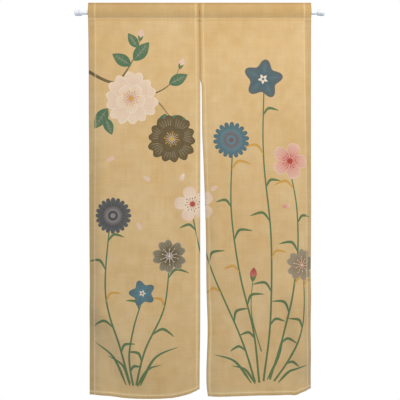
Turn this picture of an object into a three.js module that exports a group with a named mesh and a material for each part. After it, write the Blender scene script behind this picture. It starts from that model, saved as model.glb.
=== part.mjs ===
import * as THREE from 'three';

// Noren curtain: two cloth panels, seamed together at the top, hang by their rod pockets on a tension rod.
// X runs along the rod to the viewer's right, Y away from the viewer and Z up.
// The origin is on the rod's axis, half-way between its ends. All sizes are in millimetres.

// Cloth
const PANEL_WIDTH = 425;
const PANEL_HEIGHT = 1500;
const CLOTH = 1;
const INNER_HEM = 14;
const BOTTOM_HEM = 13;
const HEM_STEP = 1.5;
const PANEL_GAP = 0.3;

// Rod pocket, measured from the rod's axis
const TOP_FOLD = 38;
const POCKET_HEIGHT = 60;
const POCKET_ALLOWANCE = 12;
const POCKET_CLEARANCE = 2;
const FOLD_SLACK = 0.25;

// Slit between the panels, below the seamed part, where their edges spring apart over a short way
const SEAM_LENGTH = 299;
const SLIT_SPRING = 7;

// Tension rod and its end caps
const ROD_RADIUS = 8;
const CAP_RADIUS = 12.5;
const CAP_LENGTH = 27;
const CAP_BORE_DEPTH = 16;
const CAP_CHAMFER = 2;
const CAP_FIT = 0.3;
const SPAN = 951;

// How the turn of a stiff hem eases into the flat cloth beside it
const TURN_EASE = 48;

// The seam and the slit below it: the x of the left panel's inner edge, and how wide the slit is open
const SLIT = [
  { down: 0, edge: -1.3, open: 0 },
  { down: 150, edge: 0.6, open: 0 },
  { down: SEAM_LENGTH, edge: 2.4, open: 0 },
  { down: SEAM_LENGTH + SLIT_SPRING, edge: 2.6, open: 3.2 },
  { down: 330, edge: 2.9, open: 4.7 },
  { down: 500, edge: 3, open: 6.5 },
  { down: 600, edge: 3, open: 11 },
  { down: 860, edge: 3, open: 19.5 },
  { down: 1100, edge: 3.1, open: 22.5 },
  { down: 1250, edge: 3, open: 27 },
  { down: 1400, edge: 1.2, open: 24 },
  { down: 1460, edge: 0.9, open: 25 },
  { down: PANEL_HEIGHT, edge: 0.8, open: 30 },
];

// How each panel hangs, at a few distances down from the top fold. outer is the x of its outer edge, and
// outerHem the width of its outer hem. depth is how far its inner edge is behind the rod's axis, bow how far
// its edges lie behind its middle, and the turns, in degrees, are those of its side hems to the back.
const LEFT_FALL = [
  { down: 60, outer: -424.6, outerHem: 27, depth: 0, bow: 0, innerTurn: 0, outerTurn: 0 },
  { down: 180, outer: -424.4, outerHem: 27, depth: 0, bow: 1, innerTurn: 0, outerTurn: 5 },
  { down: 299, outer: -424.3, outerHem: 27, depth: 0, bow: 3, innerTurn: 0, outerTurn: 10 },
  { down: 420, outer: -424.6, outerHem: 27.5, depth: 2, bow: 5, innerTurn: 3, outerTurn: 15 },
  { down: 680, outer: -424.4, outerHem: 27, depth: 4, bow: 8, innerTurn: 6, outerTurn: 22 },
  { down: 960, outer: -423.9, outerHem: 26.5, depth: 6, bow: 12, innerTurn: 10, outerTurn: 27 },
  { down: 1110, outer: -422.8, outerHem: 26.5, depth: 7, bow: 14.5, innerTurn: 13, outerTurn: 29 },
  { down: 1240, outer: -426.2, outerHem: 26.5, depth: 8, bow: 17, innerTurn: 16, outerTurn: 30 },
  { down: 1400, outer: -426.6, outerHem: 26.5, depth: 13, bow: 18, innerTurn: 24, outerTurn: 28 },
  { down: 1500, outer: -425.8, outerHem: 26, depth: 18, bow: 16, innerTurn: 34, outerTurn: 26 },
];
const RIGHT_FALL = [
  { down: 60, outer: 424.8, outerHem: 27, depth: 0, bow: 0, innerTurn: 0, outerTurn: 0 },
  { down: 180, outer: 426.4, outerHem: 27, depth: 0, bow: 1, innerTurn: 0, outerTurn: 9 },
  { down: 299, outer: 427.2, outerHem: 27, depth: 0, bow: 3, innerTurn: 0, outerTurn: 16 },
  { down: 500, outer: 428.8, outerHem: 26.5, depth: 3, bow: 4, innerTurn: 5, outerTurn: 25 },
  { down: 600, outer: 429.4, outerHem: 26, depth: 6, bow: 5, innerTurn: 8, outerTurn: 29 },
  { down: 860, outer: 430.4, outerHem: 25.5, depth: 10, bow: 8, innerTurn: 14, outerTurn: 35 },
  { down: 1100, outer: 428.6, outerHem: 25, depth: 13, bow: 10, innerTurn: 16, outerTurn: 38 },
  { down: 1250, outer: 426.8, outerHem: 24.5, depth: 12, bow: 12, innerTurn: 10, outerTurn: 39 },
  { down: 1400, outer: 429.4, outerHem: 24, depth: 15, bow: 13, innerTurn: 14, outerTurn: 41 },
  { down: 1500, outer: 430.4, outerHem: 23.5, depth: 14, bow: 14, innerTurn: 18, outerTurn: 43 },
];

// The hem isn't level: how far it is lifted, at a few distances across from the panel's inner edge
const HEM_RISE_HEIGHT = 240;
const LEFT_HEM_RISE = [
  { across: 0, lift: 22 },
  { across: 30, lift: 15.5 },
  { across: 62, lift: 7 },
  { across: 115, lift: -3 },
  { across: 230, lift: -6.5 },
  { across: 285, lift: -6.5 },
  { across: 345, lift: -1.5 },
  { across: 400, lift: -2 },
  { across: 425, lift: -5 },
];
const RIGHT_HEM_RISE = [
  { across: 0, lift: -5 },
  { across: 40, lift: -2.5 },
  { across: 160, lift: 4 },
  { across: 260, lift: 6 },
  { across: 320, lift: 7 },
  { across: 345, lift: 6 },
  { across: 366, lift: 14.5 },
  { across: 400, lift: 19.5 },
  { across: 425, lift: 20 },
];

// Soft creases: each runs down from one place to another, and sinks or stands by its depth. inner and outer
// are its widths towards the panel's two edges, and fan is how much wider it has become at its lower end.
const LEFT_CREASES = [
  { acrossA: 420, downA: 1210, acrossB: 322, downB: 1500, inner: 75, outer: 130, depth: 24, fan: 1.6 },
  { acrossA: 236, downA: 1320, acrossB: 230, downB: 1440, inner: 34, outer: 34, depth: -4, fan: 0 },
  { acrossA: 150, downA: 520, acrossB: 96, downB: 1180, inner: 70, outer: 70, depth: 4, fan: 0 },
];
const RIGHT_CREASES = [
  { acrossA: 340, downA: 1090, acrossB: 372, downB: 1370, inner: 58, outer: 300, depth: -20, fan: 0 },
  { acrossA: 120, downA: 1180, acrossB: 210, downB: 1480, inner: 66, outer: 66, depth: 4, fan: 0 },
  { acrossA: 236, downA: 420, acrossB: 268, downB: 900, inner: 80, outer: 80, depth: 3, fan: 0 },
];

const PANELS = [
  { name: 'panel_left', side: -1, fall: LEFT_FALL, hemRise: LEFT_HEM_RISE, creases: LEFT_CREASES },
  { name: 'panel_right', side: 1, fall: RIGHT_FALL, hemRise: RIGHT_HEM_RISE, creases: RIGHT_CREASES },
];

// Steps of the mesh
const FIELD_COLUMNS = 12;
const EASE_COLUMNS = 3;
const FIELD_ROWS = 32;
const SECTION_STEP = 2.5;
const POCKET_LEVELS = [-14, -9, -4, 0, 4, 10, 18, 27, 35];
const ROUND_STEPS = 32;

const clamp = (value, low, high) => Math.min(high, Math.max(low, value));
const smooth = (value) => THREE.MathUtils.smoothstep(value, 0, 1);

// The value of one column of a table at a place between its rows, on a smooth curve through all of them
function along(rows, placeKey, valueKey, place) {
  const last = rows.length - 1;
  const at = clamp(place, rows[0][placeKey], rows[last][placeKey]);
  let i = 0;
  while (i < last - 1 && rows[i + 1][placeKey] < at) {
    i += 1;
  }
  const slope = (a, b) => (rows[b][valueKey] - rows[a][valueKey]) / (rows[b][placeKey] - rows[a][placeKey]);
  const gap = rows[i + 1][placeKey] - rows[i][placeKey];
  const slopeA = slope(Math.max(i - 1, 0), i + 1) * gap;
  const slopeB = slope(i, Math.min(i + 2, last)) * gap;
  const t = (at - rows[i][placeKey]) / gap;
  const t2 = t * t;
  const t3 = t2 * t;
  return (2 * t3 - 3 * t2 + 1) * rows[i][valueKey] + (t3 - 2 * t2 + t) * slopeA
    + (3 * t2 - 2 * t3) * rows[i + 1][valueKey] + (t3 - t2) * slopeB;
}

// How far a crease moves the cloth: full along its line, and nothing at its width or past its ends
function creaseDepth(crease, across, down) {
  const dx = crease.acrossB - crease.acrossA;
  const dy = crease.downB - crease.downA;
  const length = Math.hypot(dx, dy);
  const run = ((across - crease.acrossA) * dx + (down - crease.downA) * dy) / (length * length);
  const off = ((across - crease.acrossA) * dy - (down - crease.downA) * dx) / length;
  const ends = smooth(clamp((run + 0.25) / 0.5, 0, 1)) * smooth(clamp((1.35 - run) / 0.5, 0, 1));
  const spread = 1 + crease.fan * clamp(run, 0, 1);
  const width = spread * (off < 0 ? crease.inner : crease.outer);
  return crease.depth * ends * smooth(clamp(1 - Math.abs(off) / width, 0, 1));
}

// The x of a panel's inner edge: the two edges meet along the seam, and part below it
function innerEdge(side, down) {
  const edge = along(SLIT, 'down', 'edge', down);
  const open = down <= SEAM_LENGTH ? 0 : along(SLIT, 'down', 'open', down);
  return side < 0 ? edge : edge + PANEL_GAP + open;
}

// One level of a panel seen from above: a chain of steps from its inner to its outer edge, each turned by the
// bow and by the hems, and then stretched by a hair so that both edges are where the table has them
function levelOf(panel, down) {
  const value = (key) => along(panel.fall, 'down', key, down);
  const outerHem = value('outerHem');
  const bowTurn = 4 * value('bow') / PANEL_WIDTH;
  const innerTurn = THREE.MathUtils.degToRad(value('innerTurn'));
  const outerTurn = THREE.MathUtils.degToRad(value('outerTurn'));
  const turnAt = (across) => bowTurn * (2 * across / PANEL_WIDTH - 1)
    - innerTurn * smooth((INNER_HEM + TURN_EASE - across) / TURN_EASE)
    + outerTurn * smooth((across - PANEL_WIDTH + outerHem + TURN_EASE) / TURN_EASE);
  const reach = [0];
  const depth = [0];
  const steps = PANEL_WIDTH / SECTION_STEP;
  for (let i = 0; i < steps; i += 1) {
    const turn = turnAt((i + 0.5) * SECTION_STEP);
    reach.push(reach[i] + SECTION_STEP * Math.cos(turn));
    depth.push(depth[i] + SECTION_STEP * Math.sin(turn));
  }
  const pick = (list, across) => {
    const i = clamp(Math.floor(across / SECTION_STEP), 0, steps - 1);
    return THREE.MathUtils.lerp(list[i], list[i + 1], across / SECTION_STEP - i);
  };
  const inner = innerEdge(panel.side, down);
  const stretch = (value('outer') - inner) / reach[steps];
  const base = value('depth');
  const xAt = (across) => inner + stretch * pick(reach, across);
  const depthAt = (across) => base + pick(depth, across);
  return { outerHem, turnAt, xAt, depthAt };
}

// The front and the back of the hanging cloth at one place
function hangingPoints(panel, level, across, down, layers) {
  let depth = level.depthAt(across);
  for (const crease of panel.creases) {
    depth += creaseDepth(crease, across, down);
  }
  const rise = smooth((down - PANEL_HEIGHT + HEM_RISE_HEIGHT) / HEM_RISE_HEIGHT);
  const z = TOP_FOLD - down + rise * along(panel.hemRise, 'across', 'lift', across);
  const turn = level.turnAt(across);
  const front = new THREE.Vector3(level.xAt(across), depth - CLOTH, z);
  const normal = new THREE.Vector3(-panel.side * Math.sin(turn), Math.cos(turn), 0);
  return { front, back: front.clone().addScaledVector(normal, CLOTH * layers) };
}

// How many layers of cloth lie on each other at one place of the hanging part
function layersAt(across, down, outerHem) {
  const inSideHem = across <= INNER_HEM || across >= PANEL_WIDTH - outerHem;
  const inBottomHem = down >= PANEL_HEIGHT - BOTTOM_HEM;
  const inAllowance = down <= POCKET_HEIGHT + POCKET_ALLOWANCE;
  return 1 + (inSideHem || inBottomHem ? 1 : 0) + (inAllowance ? 1 : 0);
}

// Half the width of the pocket's hollow, at a height above or below the rod's axis
function pocketHalf(height) {
  const reach = height > 0 ? TOP_FOLD : POCKET_HEIGHT - TOP_FOLD;
  const part = clamp(Math.abs(height) / reach, 0, 1);
  return (ROD_RADIUS + POCKET_CLEARANCE) * Math.cos(part * Math.PI / 2) ** 1.1;
}

// Evenly spaced places after one place, as far as another
const stepsTo = (start, end, count) =>
  Array.from({ length: count }, (_, i) => THREE.MathUtils.lerp(start, end, (i + 1) / count));

// Distances across a panel at which its mesh has a column, closer together where a hem's turn eases in
function columnsOf(outerHem) {
  const innerStep = INNER_HEM + HEM_STEP;
  const innerEase = INNER_HEM + TURN_EASE;
  const outerLine = PANEL_WIDTH - outerHem;
  const outerEase = outerLine - TURN_EASE;
  return [
    0,
    INNER_HEM,
    innerStep,
    ...stepsTo(innerStep, innerEase, EASE_COLUMNS - 1),
    ...stepsTo(innerEase, outerEase, FIELD_COLUMNS),
    ...stepsTo(outerEase, outerLine - HEM_STEP, EASE_COLUMNS),
    outerLine,
    PANEL_WIDTH,
  ];
}

// Distances down from the pocket's stitch line to the hem at which the mesh has a row
function rowsOf() {
  const allowance = POCKET_HEIGHT + POCKET_ALLOWANCE;
  const hemLine = PANEL_HEIGHT - BOTTOM_HEM;
  const field = stepsTo(allowance + HEM_STEP, hemLine - HEM_STEP, FIELD_ROWS);
  const stitched = [POCKET_HEIGHT, allowance, allowance + HEM_STEP];
  const slitStart = [SEAM_LENGTH, SEAM_LENGTH + SLIT_SPRING];
  return [...stitched, ...field, ...slitStart, hemLine, PANEL_HEIGHT].sort((a, b) => a - b);
}

// One column of a panel: the loop round its whole section, from the front of the stitch line over the top
// fold, down the back and up the front again, and the loop round the hollow of its pocket
function columnLoops(panel, index, levels, rows) {
  const front = [];
  const back = [];
  rows.forEach((down, r) => {
    const across = columnsOf(levels[r].outerHem)[index];
    const layers = layersAt(across, down, levels[r].outerHem);
    const points = hangingPoints(panel, levels[r], across, down, layers);
    front.push(points.front);
    back.push(points.back);
  });
  const stitch = front[0];
  const across = columnsOf(levels[0].outerHem)[index];
  const hemmed = layersAt(across, POCKET_HEIGHT + 2 * POCKET_ALLOWANCE, levels[0].outerHem) - 1;
  const outside = (height, way) => new THREE.Vector3(stitch.x, way * (pocketHalf(height) + CLOTH), height);
  const inside = (height, way) => {
    const half = Math.max(pocketHalf(height) - hemmed * CLOTH, FOLD_SLACK);
    return new THREE.Vector3(stitch.x, way * half, height);
  };
  const up = POCKET_LEVELS;
  const down = [...POCKET_LEVELS].reverse();
  const skin = [
    ...front.slice().reverse(),
    ...up.map((height) => outside(height, -1)),
    new THREE.Vector3(stitch.x, 0, TOP_FOLD),
    ...down.map((height) => outside(height, 1)),
    ...back,
  ];
  const hollow = [
    new THREE.Vector3(stitch.x, 0, stitch.z + CLOTH),
    ...up.map((height) => inside(height, -1)),
    new THREE.Vector3(stitch.x, 0, TOP_FOLD - CLOTH),
    ...down.map((height) => inside(height, 1)),
  ];
  return { skin, hollow };
}

// Triangles that fill a panel's side edge, between the loops of its last column
function edgeTriangles(skin, hollow, rowCount) {
  const triangles = [];
  const quad = (a, b, c, d) => triangles.push([a, b, c], [a, c, d]);
  const last = skin.length - 1;
  for (let r = 0; r < rowCount - 1; r += 1) {
    quad(skin[r], skin[r + 1], skin[last - r - 1], skin[last - r]);
  }
  const stitchFront = rowCount - 1;
  const around = hollow.length;
  triangles.push([skin[stitchFront], hollow[0], skin[last - stitchFront]]);
  for (let i = 0; i < around; i += 1) {
    quad(skin[stitchFront + i], skin[stitchFront + i + 1], hollow[(i + 1) % around], hollow[i]);
  }
  return triangles;
}

function panelGeometry(panel) {
  const rows = rowsOf();
  const levels = rows.map((down) => levelOf(panel, down));
  const columnCount = columnsOf(levels[0].outerHem).length;
  const positions = [];
  const number = (loop) => loop.map((point) => positions.push(point.x, point.y, point.z) / 3 - 1);
  const columns = [];
  for (let c = 0; c < columnCount; c += 1) {
    const { skin, hollow } = columnLoops(panel, c, levels, rows);
    columns.push({ skin: number(skin), hollow: number(hollow) });
  }
  const triangles = [];
  const wall = (a, b, flip) => a.forEach((_, i) => {
    const j = (i + 1) % a.length;
    const [p, q] = flip ? [b, a] : [a, b];
    triangles.push([p[i], q[i], q[j]], [p[i], q[j], p[j]]);
  });
  for (let c = 1; c < columnCount; c += 1) {
    wall(columns[c - 1].skin, columns[c].skin, false);
    wall(columns[c - 1].hollow, columns[c].hollow, true);
  }
  const first = columns[0];
  const last = columns[columnCount - 1];
  triangles.push(...edgeTriangles(first.skin, first.hollow, rows.length));
  triangles.push(...edgeTriangles(last.skin, last.hollow, rows.length).map(([a, b, c]) => [a, c, b]));
  const facesOut = panel.side < 0 ? triangles.map(([a, b, c]) => [a, c, b]) : triangles;
  const geometry = new THREE.BufferGeometry();
  geometry.setAttribute('position', new THREE.Float32BufferAttribute(positions, 3));
  geometry.setIndex(facesOut.flat());
  geometry.computeVertexNormals();
  return geometry;
}

// Materials
const cloth = new THREE.MeshStandardMaterial({ color: 0xd6b27d, roughness: 0.9, metalness: 0 });
const enamel = new THREE.MeshStandardMaterial({ color: 0xeef0f2, roughness: 0.35, metalness: 0 });
const plastic = new THREE.MeshStandardMaterial({ color: 0xf4f4f2, roughness: 0.55, metalness: 0 });

function named(name, geometry, material) {
  const mesh = new THREE.Mesh(geometry, material);
  mesh.name = name;
  return mesh;
}

// The rod ends inside its caps
function makeRod() {
  const length = SPAN - 2 * (CAP_LENGTH - CAP_BORE_DEPTH + CAP_FIT);
  const rod = named('rod', new THREE.CylinderGeometry(ROD_RADIUS, ROD_RADIUS, length, ROUND_STEPS), enamel);
  rod.rotation.z = Math.PI / 2;
  return rod;
}

// A cap is a short cup over the rod's end, with a flat outer face
function makeCap(name, side) {
  const bore = ROD_RADIUS + CAP_FIT;
  const outline = [
    [0, CAP_BORE_DEPTH],
    [bore, CAP_BORE_DEPTH],
    [bore, 0],
    [CAP_RADIUS - CAP_CHAMFER, 0],
    [CAP_RADIUS, CAP_CHAMFER],
    [CAP_RADIUS, CAP_LENGTH - CAP_CHAMFER],
    [CAP_RADIUS - CAP_CHAMFER, CAP_LENGTH],
    [0, CAP_LENGTH],
  ].map(([radius, out]) => new THREE.Vector2(radius, out));
  const cap = named(name, new THREE.LatheGeometry(outline, ROUND_STEPS), plastic);
  cap.position.x = side * (SPAN / 2 - CAP_LENGTH);
  cap.rotation.z = -side * Math.PI / 2;
  return cap;
}

const curtain = new THREE.Group();
for (const panel of PANELS) {
  curtain.add(named(panel.name, panelGeometry(panel), cloth));
}
curtain.add(makeRod());
curtain.add(makeCap('end_cap_left', -1));
curtain.add(makeCap('end_cap_right', 1));

export default curtain;
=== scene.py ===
from math import atan2, cos, degrees, exp, hypot, pi, radians, sin

import bpy
import numpy as np
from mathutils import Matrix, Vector, geometry


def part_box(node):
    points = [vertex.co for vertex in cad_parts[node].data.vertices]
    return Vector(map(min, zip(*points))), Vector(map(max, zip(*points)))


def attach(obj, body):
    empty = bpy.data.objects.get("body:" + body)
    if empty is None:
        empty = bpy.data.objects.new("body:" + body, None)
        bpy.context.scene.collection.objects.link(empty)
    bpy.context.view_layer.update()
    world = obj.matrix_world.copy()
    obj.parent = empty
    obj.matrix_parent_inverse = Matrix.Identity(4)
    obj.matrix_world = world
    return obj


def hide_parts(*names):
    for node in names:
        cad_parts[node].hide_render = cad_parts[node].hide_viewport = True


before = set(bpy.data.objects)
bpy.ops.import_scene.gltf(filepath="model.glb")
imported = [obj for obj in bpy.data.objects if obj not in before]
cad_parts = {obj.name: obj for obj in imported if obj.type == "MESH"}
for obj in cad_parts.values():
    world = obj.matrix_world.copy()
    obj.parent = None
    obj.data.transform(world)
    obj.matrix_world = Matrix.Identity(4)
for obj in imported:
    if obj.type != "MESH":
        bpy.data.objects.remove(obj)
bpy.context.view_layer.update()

# Noren curtain on a tension rod. Shapes are worked out in millimetres, and add_mesh turns them into metres.
# On the cloth, across is the distance from a panel's inner edge, and down the distance along the cloth from
# the top fold, less than nothing on the back of the pocket. In space, X runs along the rod, Y away from the
# viewer and Z up from the rod's axis.

MM = 0.001

# Cloth, with the same driving sizes as the solids
PANEL_WIDTH = 425
PANEL_HEIGHT = 1500
SOLID_CLOTH = 1.0
INNER_HEM = 14
BOTTOM_HEM = 13
PANEL_GAP = 0.3
TOP_FOLD = 38
POCKET_HEIGHT = 60
POCKET_ALLOWANCE = 12
FOLD_END = POCKET_HEIGHT + POCKET_ALLOWANCE
POCKET_HALF = 10
POCKET_FULLNESS = 1.1
SEAM_LENGTH = 299
SLIT_SPRING = 7
TURN_EASE = 48

# The real cloth, and how its edges, hems and stitch lines are rounded and pressed
CLOTH = 0.6
HEM_LAYERS = 1.2
HEM_STEP = 0.6
FOLD_RADIUS = 1.0
SHOULDER = 3.2
SHOULDER_DROP = 1.0
STITCH_SINK = 0.22
STITCH_SINK_WIDTH = 2

# The stitch line of the rod pocket stands a little forward of the cloth below it
STITCH_STAND = 4
STITCH_EASE = 80

# Ripples that set in below the pocket, and the hems' puckers, which fade away from the hems
RIPPLE_START = 90
RIPPLE_EASE = 260
BROAD_WAVE = 0.8
NARROW_WAVE = 0.5
SIDE_PUCKER = 0.3
SIDE_PUCKER_FADE = 26
BOTTOM_PUCKER = 0.35
BOTTOM_PUCKER_FADE = 22

# Thread
STITCH_PITCH = 4.0
STITCH_LENGTH = 3.1
STITCH_WIDTH = 1.1
STITCH_INSET = 1.2
STITCH_TUCK = 0.1
ROW_START = 3
ROW_END = 6
TURN_MARGIN = 4
SEAM_PITCH = 4.2
SEAM_START = 6
SEAM_BITE = 3.2
SEAM_SLANT = 1.6

# Steps of the meshes
LEVEL_STEP = 4
SECTION_STEP = 2.5
EDGE_STEPS = (0, 0.12, 0.4, 0.8, 1.4, 2.6)
FIELD_COLUMNS = 66
FIELD_ROWS = 230
PRINT_MARGIN = 1.2
TINY = 1e-4
PROBE = 0.4
ROUND_STEPS = 64

# Rod and caps, where the solids' boxes don't give their sizes
ROD_CHAMFER = 0.6
CAP_ROUND = 4
CAP_LIP = 2
CAP_TAPER = 0.8
CAP_FIT = 0.3
CAP_BORE_DEPTH = 16


def table(names, *rows):
    """The columns of a small table, by name."""
    return dict(zip(names.split(), np.array(rows, float).T))


# The seam and the slit below it: the x of the left panel's inner edge, and how wide the slit is open
SLIT = table(
    "down edge open",
    (0, -1.3, 0),
    (150, 0.6, 0),
    (SEAM_LENGTH, 2.4, 0),
    (SEAM_LENGTH + SLIT_SPRING, 2.6, 3.2),
    (330, 2.9, 4.7),
    (500, 3, 6.5),
    (600, 3, 11),
    (860, 3, 19.5),
    (1100, 3.1, 22.5),
    (1250, 3, 27),
    (1400, 1.2, 24),
    (1460, 0.9, 25),
    (PANEL_HEIGHT, 0.8, 30),
)

# How each panel hangs: the x of its outer edge, the width of its outer hem, how far its inner edge is behind
# the rod's axis, how far its edges lie behind its middle, and how far its side hems turn back, in degrees
FALL = "down outer outer_hem depth bow inner_turn outer_turn"
LEFT_FALL = table(
    FALL,
    (60, -424.6, 27, 0, 0, 0, 0),
    (180, -424.4, 27, 0, 1, 0, 5),
    (299, -424.3, 27, 0, 3, 0, 10),
    (420, -424.6, 27.5, 2, 5, 3, 15),
    (680, -424.4, 27, 4, 8, 6, 22),
    (960, -423.9, 26.5, 6, 12, 10, 27),
    (1110, -422.8, 26.5, 7, 14.5, 13, 29),
    (1240, -426.2, 26.5, 8, 17, 16, 30),
    (1400, -426.6, 26.5, 13, 18, 24, 28),
    (1500, -425.8, 26, 18, 16, 34, 26),
)
RIGHT_FALL = table(
    FALL,
    (60, 424.8, 27, 0, 0, 0, 0),
    (180, 426.4, 27, 0, 1, 0, 9),
    (299, 427.2, 27, 0, 3, 0, 16),
    (500, 428.8, 26.5, 3, 4, 5, 25),
    (600, 429.4, 26, 6, 5, 8, 29),
    (860, 430.4, 25.5, 10, 8, 14, 35),
    (1100, 428.6, 25, 13, 10, 16, 38),
    (1250, 426.8, 24.5, 12, 12, 10, 39),
    (1400, 429.4, 24, 15, 13, 14, 41),
    (1500, 430.4, 23.5, 14, 14, 18, 43),
)

# How far the hem is lifted, from a panel's inner edge to its outer one
HEM_RISE_HEIGHT = 240
LEFT_HEM_RISE = table(
    "across lift",
    (0, 22), (30, 15.5), (62, 7), (115, -3), (230, -6.5), (285, -6.5), (345, -1.5), (400, -2), (425, -5),
)
RIGHT_HEM_RISE = table(
    "across lift",
    (0, -5), (40, -2.5), (160, 4), (260, 6), (320, 7), (345, 6), (366, 14.5), (400, 19.5), (425, 20),
)

# Soft creases from one place down to another, which sink or stand by their depth. Each has a width towards
# the panel's inner and its outer edge, becomes wider on its way down by its fan, and fades at its ends.
CREASE = "across_a down_a across_b down_b inner outer depth fan"
LEFT_CREASES = table(
    CREASE,
    (420, 1210, 322, 1500, 75, 130, 24, 1.6),
    (236, 1320, 230, 1440, 34, 34, -4, 0),
    (150, 520, 96, 1180, 70, 70, 4, 0),
)
RIGHT_CREASES = table(
    CREASE,
    (340, 1090, 372, 1370, 58, 300, -20, 0),
    (120, 1180, 210, 1480, 66, 66, 4, 0),
    (236, 420, 268, 900, 80, 80, 3, 0),
)
CREASE_FROM = -0.25
CREASE_TO = 1.35
CREASE_FADE = 0.5


def clamp(x):
    return np.clip(x, 0, 1)


def smooth(x):
    """An even rise from 0 to 1."""
    x = clamp(x)
    return x * x * (3 - 2 * x)


def along(rows, place, key, at):
    """One column of a table at places between its rows, on a smooth curve."""
    x, y = rows[place], rows[key]
    at = np.clip(at, x[0], x[-1])
    i = np.clip(np.searchsorted(x, at, "left") - 1, 0, len(x) - 2)
    gap = x[i + 1] - x[i]
    before, after = np.maximum(i - 1, 0), np.minimum(i + 2, len(x) - 1)
    slope_a = (y[i + 1] - y[before]) / (x[i + 1] - x[before]) * gap
    slope_b = (y[after] - y[i]) / (x[after] - x[i]) * gap
    t = (at - x[i]) / gap
    t2, t3 = t * t, t * t * t
    return (
        (2 * t3 - 3 * t2 + 1) * y[i] + (t3 - 2 * t2 + t) * slope_a
        + (3 * t2 - 2 * t3) * y[i + 1] + (t3 - t2) * slope_b
    )


class Panel:
    """One panel of cloth and how it hangs. Its side is -1 on the left and 1 on the right."""

    def __init__(self, name, side, fall, hem_rise, creases):
        self.name, self.side, self.fall, self.hem_rise = name, side, fall, hem_rise
        self.creases = [dict(zip(creases, row)) for row in zip(*creases.values())]
        down = np.arange(POCKET_HEIGHT, PANEL_HEIGHT + 1, LEVEL_STEP, float)[:, None]
        across = np.arange(SECTION_STEP / 2, PANEL_WIDTH, SECTION_STEP)
        value = {key: along(fall, "down", key, down) for key in fall}
        outer_turn = np.radians(value["outer_turn"])
        turn = (
            4 * value["bow"] / PANEL_WIDTH * (2 * across / PANEL_WIDTH - 1)
            - np.radians(value["inner_turn"]) * smooth((INNER_HEM + TURN_EASE - across) / TURN_EASE)
            + outer_turn * smooth((across - PANEL_WIDTH + value["outer_hem"] + TURN_EASE) / TURN_EASE)
        )
        start = np.zeros((len(down), 1))
        reach = np.hstack([start, np.cumsum(SECTION_STEP * np.cos(turn), 1)])
        depth = np.hstack([start, np.cumsum(SECTION_STEP * np.sin(turn), 1)])
        edge = along(SLIT, "down", "edge", down)
        if side > 0:
            edge = edge + PANEL_GAP + np.where(down > SEAM_LENGTH, along(SLIT, "down", "open", down), 0)
        self.x = edge + (value["outer"] - edge) * reach / reach[:, -1:]
        self.depth = value["depth"] + depth

    def outer_hem(self, down):
        return along(self.fall, "down", "outer_hem", down)

    def pick(self, grid, across, down):
        """A grid's value at places between its levels and steps."""
        r = np.clip((down - POCKET_HEIGHT) / LEVEL_STEP, 0, grid.shape[0] - 1.001)
        c = np.clip(across / SECTION_STEP, 0, grid.shape[1] - 1.001)
        i, j = r.astype(int), c.astype(int)
        u, v = r - i, c - j
        upper = grid[i, j] * (1 - v) + grid[i, j + 1] * v
        lower = grid[i + 1, j] * (1 - v) + grid[i + 1, j + 1] * v
        return upper * (1 - u) + lower * u

    def crease_depth(self, across, down):
        """How far creases move the cloth: fully on their lines, and not past their widths."""
        total = np.zeros_like(across)
        for c in self.creases:
            dx, dy = c["across_b"] - c["across_a"], c["down_b"] - c["down_a"]
            length = hypot(dx, dy)
            x, y = across - c["across_a"], down - c["down_a"]
            run, off = (x * dx + y * dy) / length**2, (x * dy - y * dx) / length
            ends = smooth((run - CREASE_FROM) / CREASE_FADE) * smooth((CREASE_TO - run) / CREASE_FADE)
            spread = 1 + c["fan"] * clamp(run)
            width = spread * np.where(off < 0, c["inner"], c["outer"])
            total += c["depth"] * ends * smooth(1 - np.abs(off) / width)
        return total

    def ripples(self, across, down):
        """The unevenness of hung cloth, and the puckers that its hems' stitching pulls."""
        free = smooth((down - RIPPLE_START) / RIPPLE_EASE)
        phase = 1.3 * self.side
        wave = BROAD_WAVE * np.sin(across / 41 + down / 190 + phase) * np.sin(down / 83 - across / 120)
        wave += NARROW_WAVE * np.sin(across / 23 - down / 71 + 2 * phase)
        to_side = np.minimum(across, PANEL_WIDTH - across)
        side_pucker = np.sin(down / 5.3 + 1.7 * np.sin(down / 47 + phase))
        wave += SIDE_PUCKER * np.exp(-to_side / SIDE_PUCKER_FADE) * side_pucker
        bottom_pucker = np.sin(across / 4.9 + 1.9 * np.sin(across / 38))
        wave += BOTTOM_PUCKER * np.exp((down - PANEL_HEIGHT) / BOTTOM_PUCKER_FADE) * bottom_pucker
        return free * wave

    def places(self, across, down):
        """Where the front of the cloth is."""
        hanging = down >= POCKET_HEIGHT
        level = np.where(hanging, down, np.where(down < -POCKET_HEIGHT, -down, POCKET_HEIGHT))
        x = self.pick(self.x, across, level)
        depth = self.pick(self.depth, across, level)
        depth += np.where(hanging, self.crease_depth(across, down) + self.ripples(across, down), 0)
        rise = smooth((down - PANEL_HEIGHT + HEM_RISE_HEIGHT) / HEM_RISE_HEIGHT)
        z = TOP_FOLD - np.abs(down) + rise * along(self.hem_rise, "across", "lift", across)
        reach = np.where(z > 0, TOP_FOLD, POCKET_HEIGHT - TOP_FOLD)
        height = clamp(np.abs(z) / reach)
        half = POCKET_HALF * np.cos(height * pi / 2) ** POCKET_FULLNESS
        fold = np.sqrt(1 - (1 - clamp(np.abs(down) / FOLD_RADIUS)) ** 2)
        in_pocket = np.abs(down) < POCKET_HEIGHT
        front = np.where(down < 0, 1, -1)
        y = np.where(in_pocket, front * (half + SOLID_CLOTH) * fold, depth + front * SOLID_CLOTH)
        above_stitches = (down - TOP_FOLD) / (POCKET_HEIGHT - TOP_FOLD)
        below_stitches = 1 - (down - POCKET_HEIGHT) / STITCH_EASE
        y -= STITCH_STAND * smooth(np.where(in_pocket, above_stitches, below_stitches))
        return np.stack([x, y, z], 1)

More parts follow.
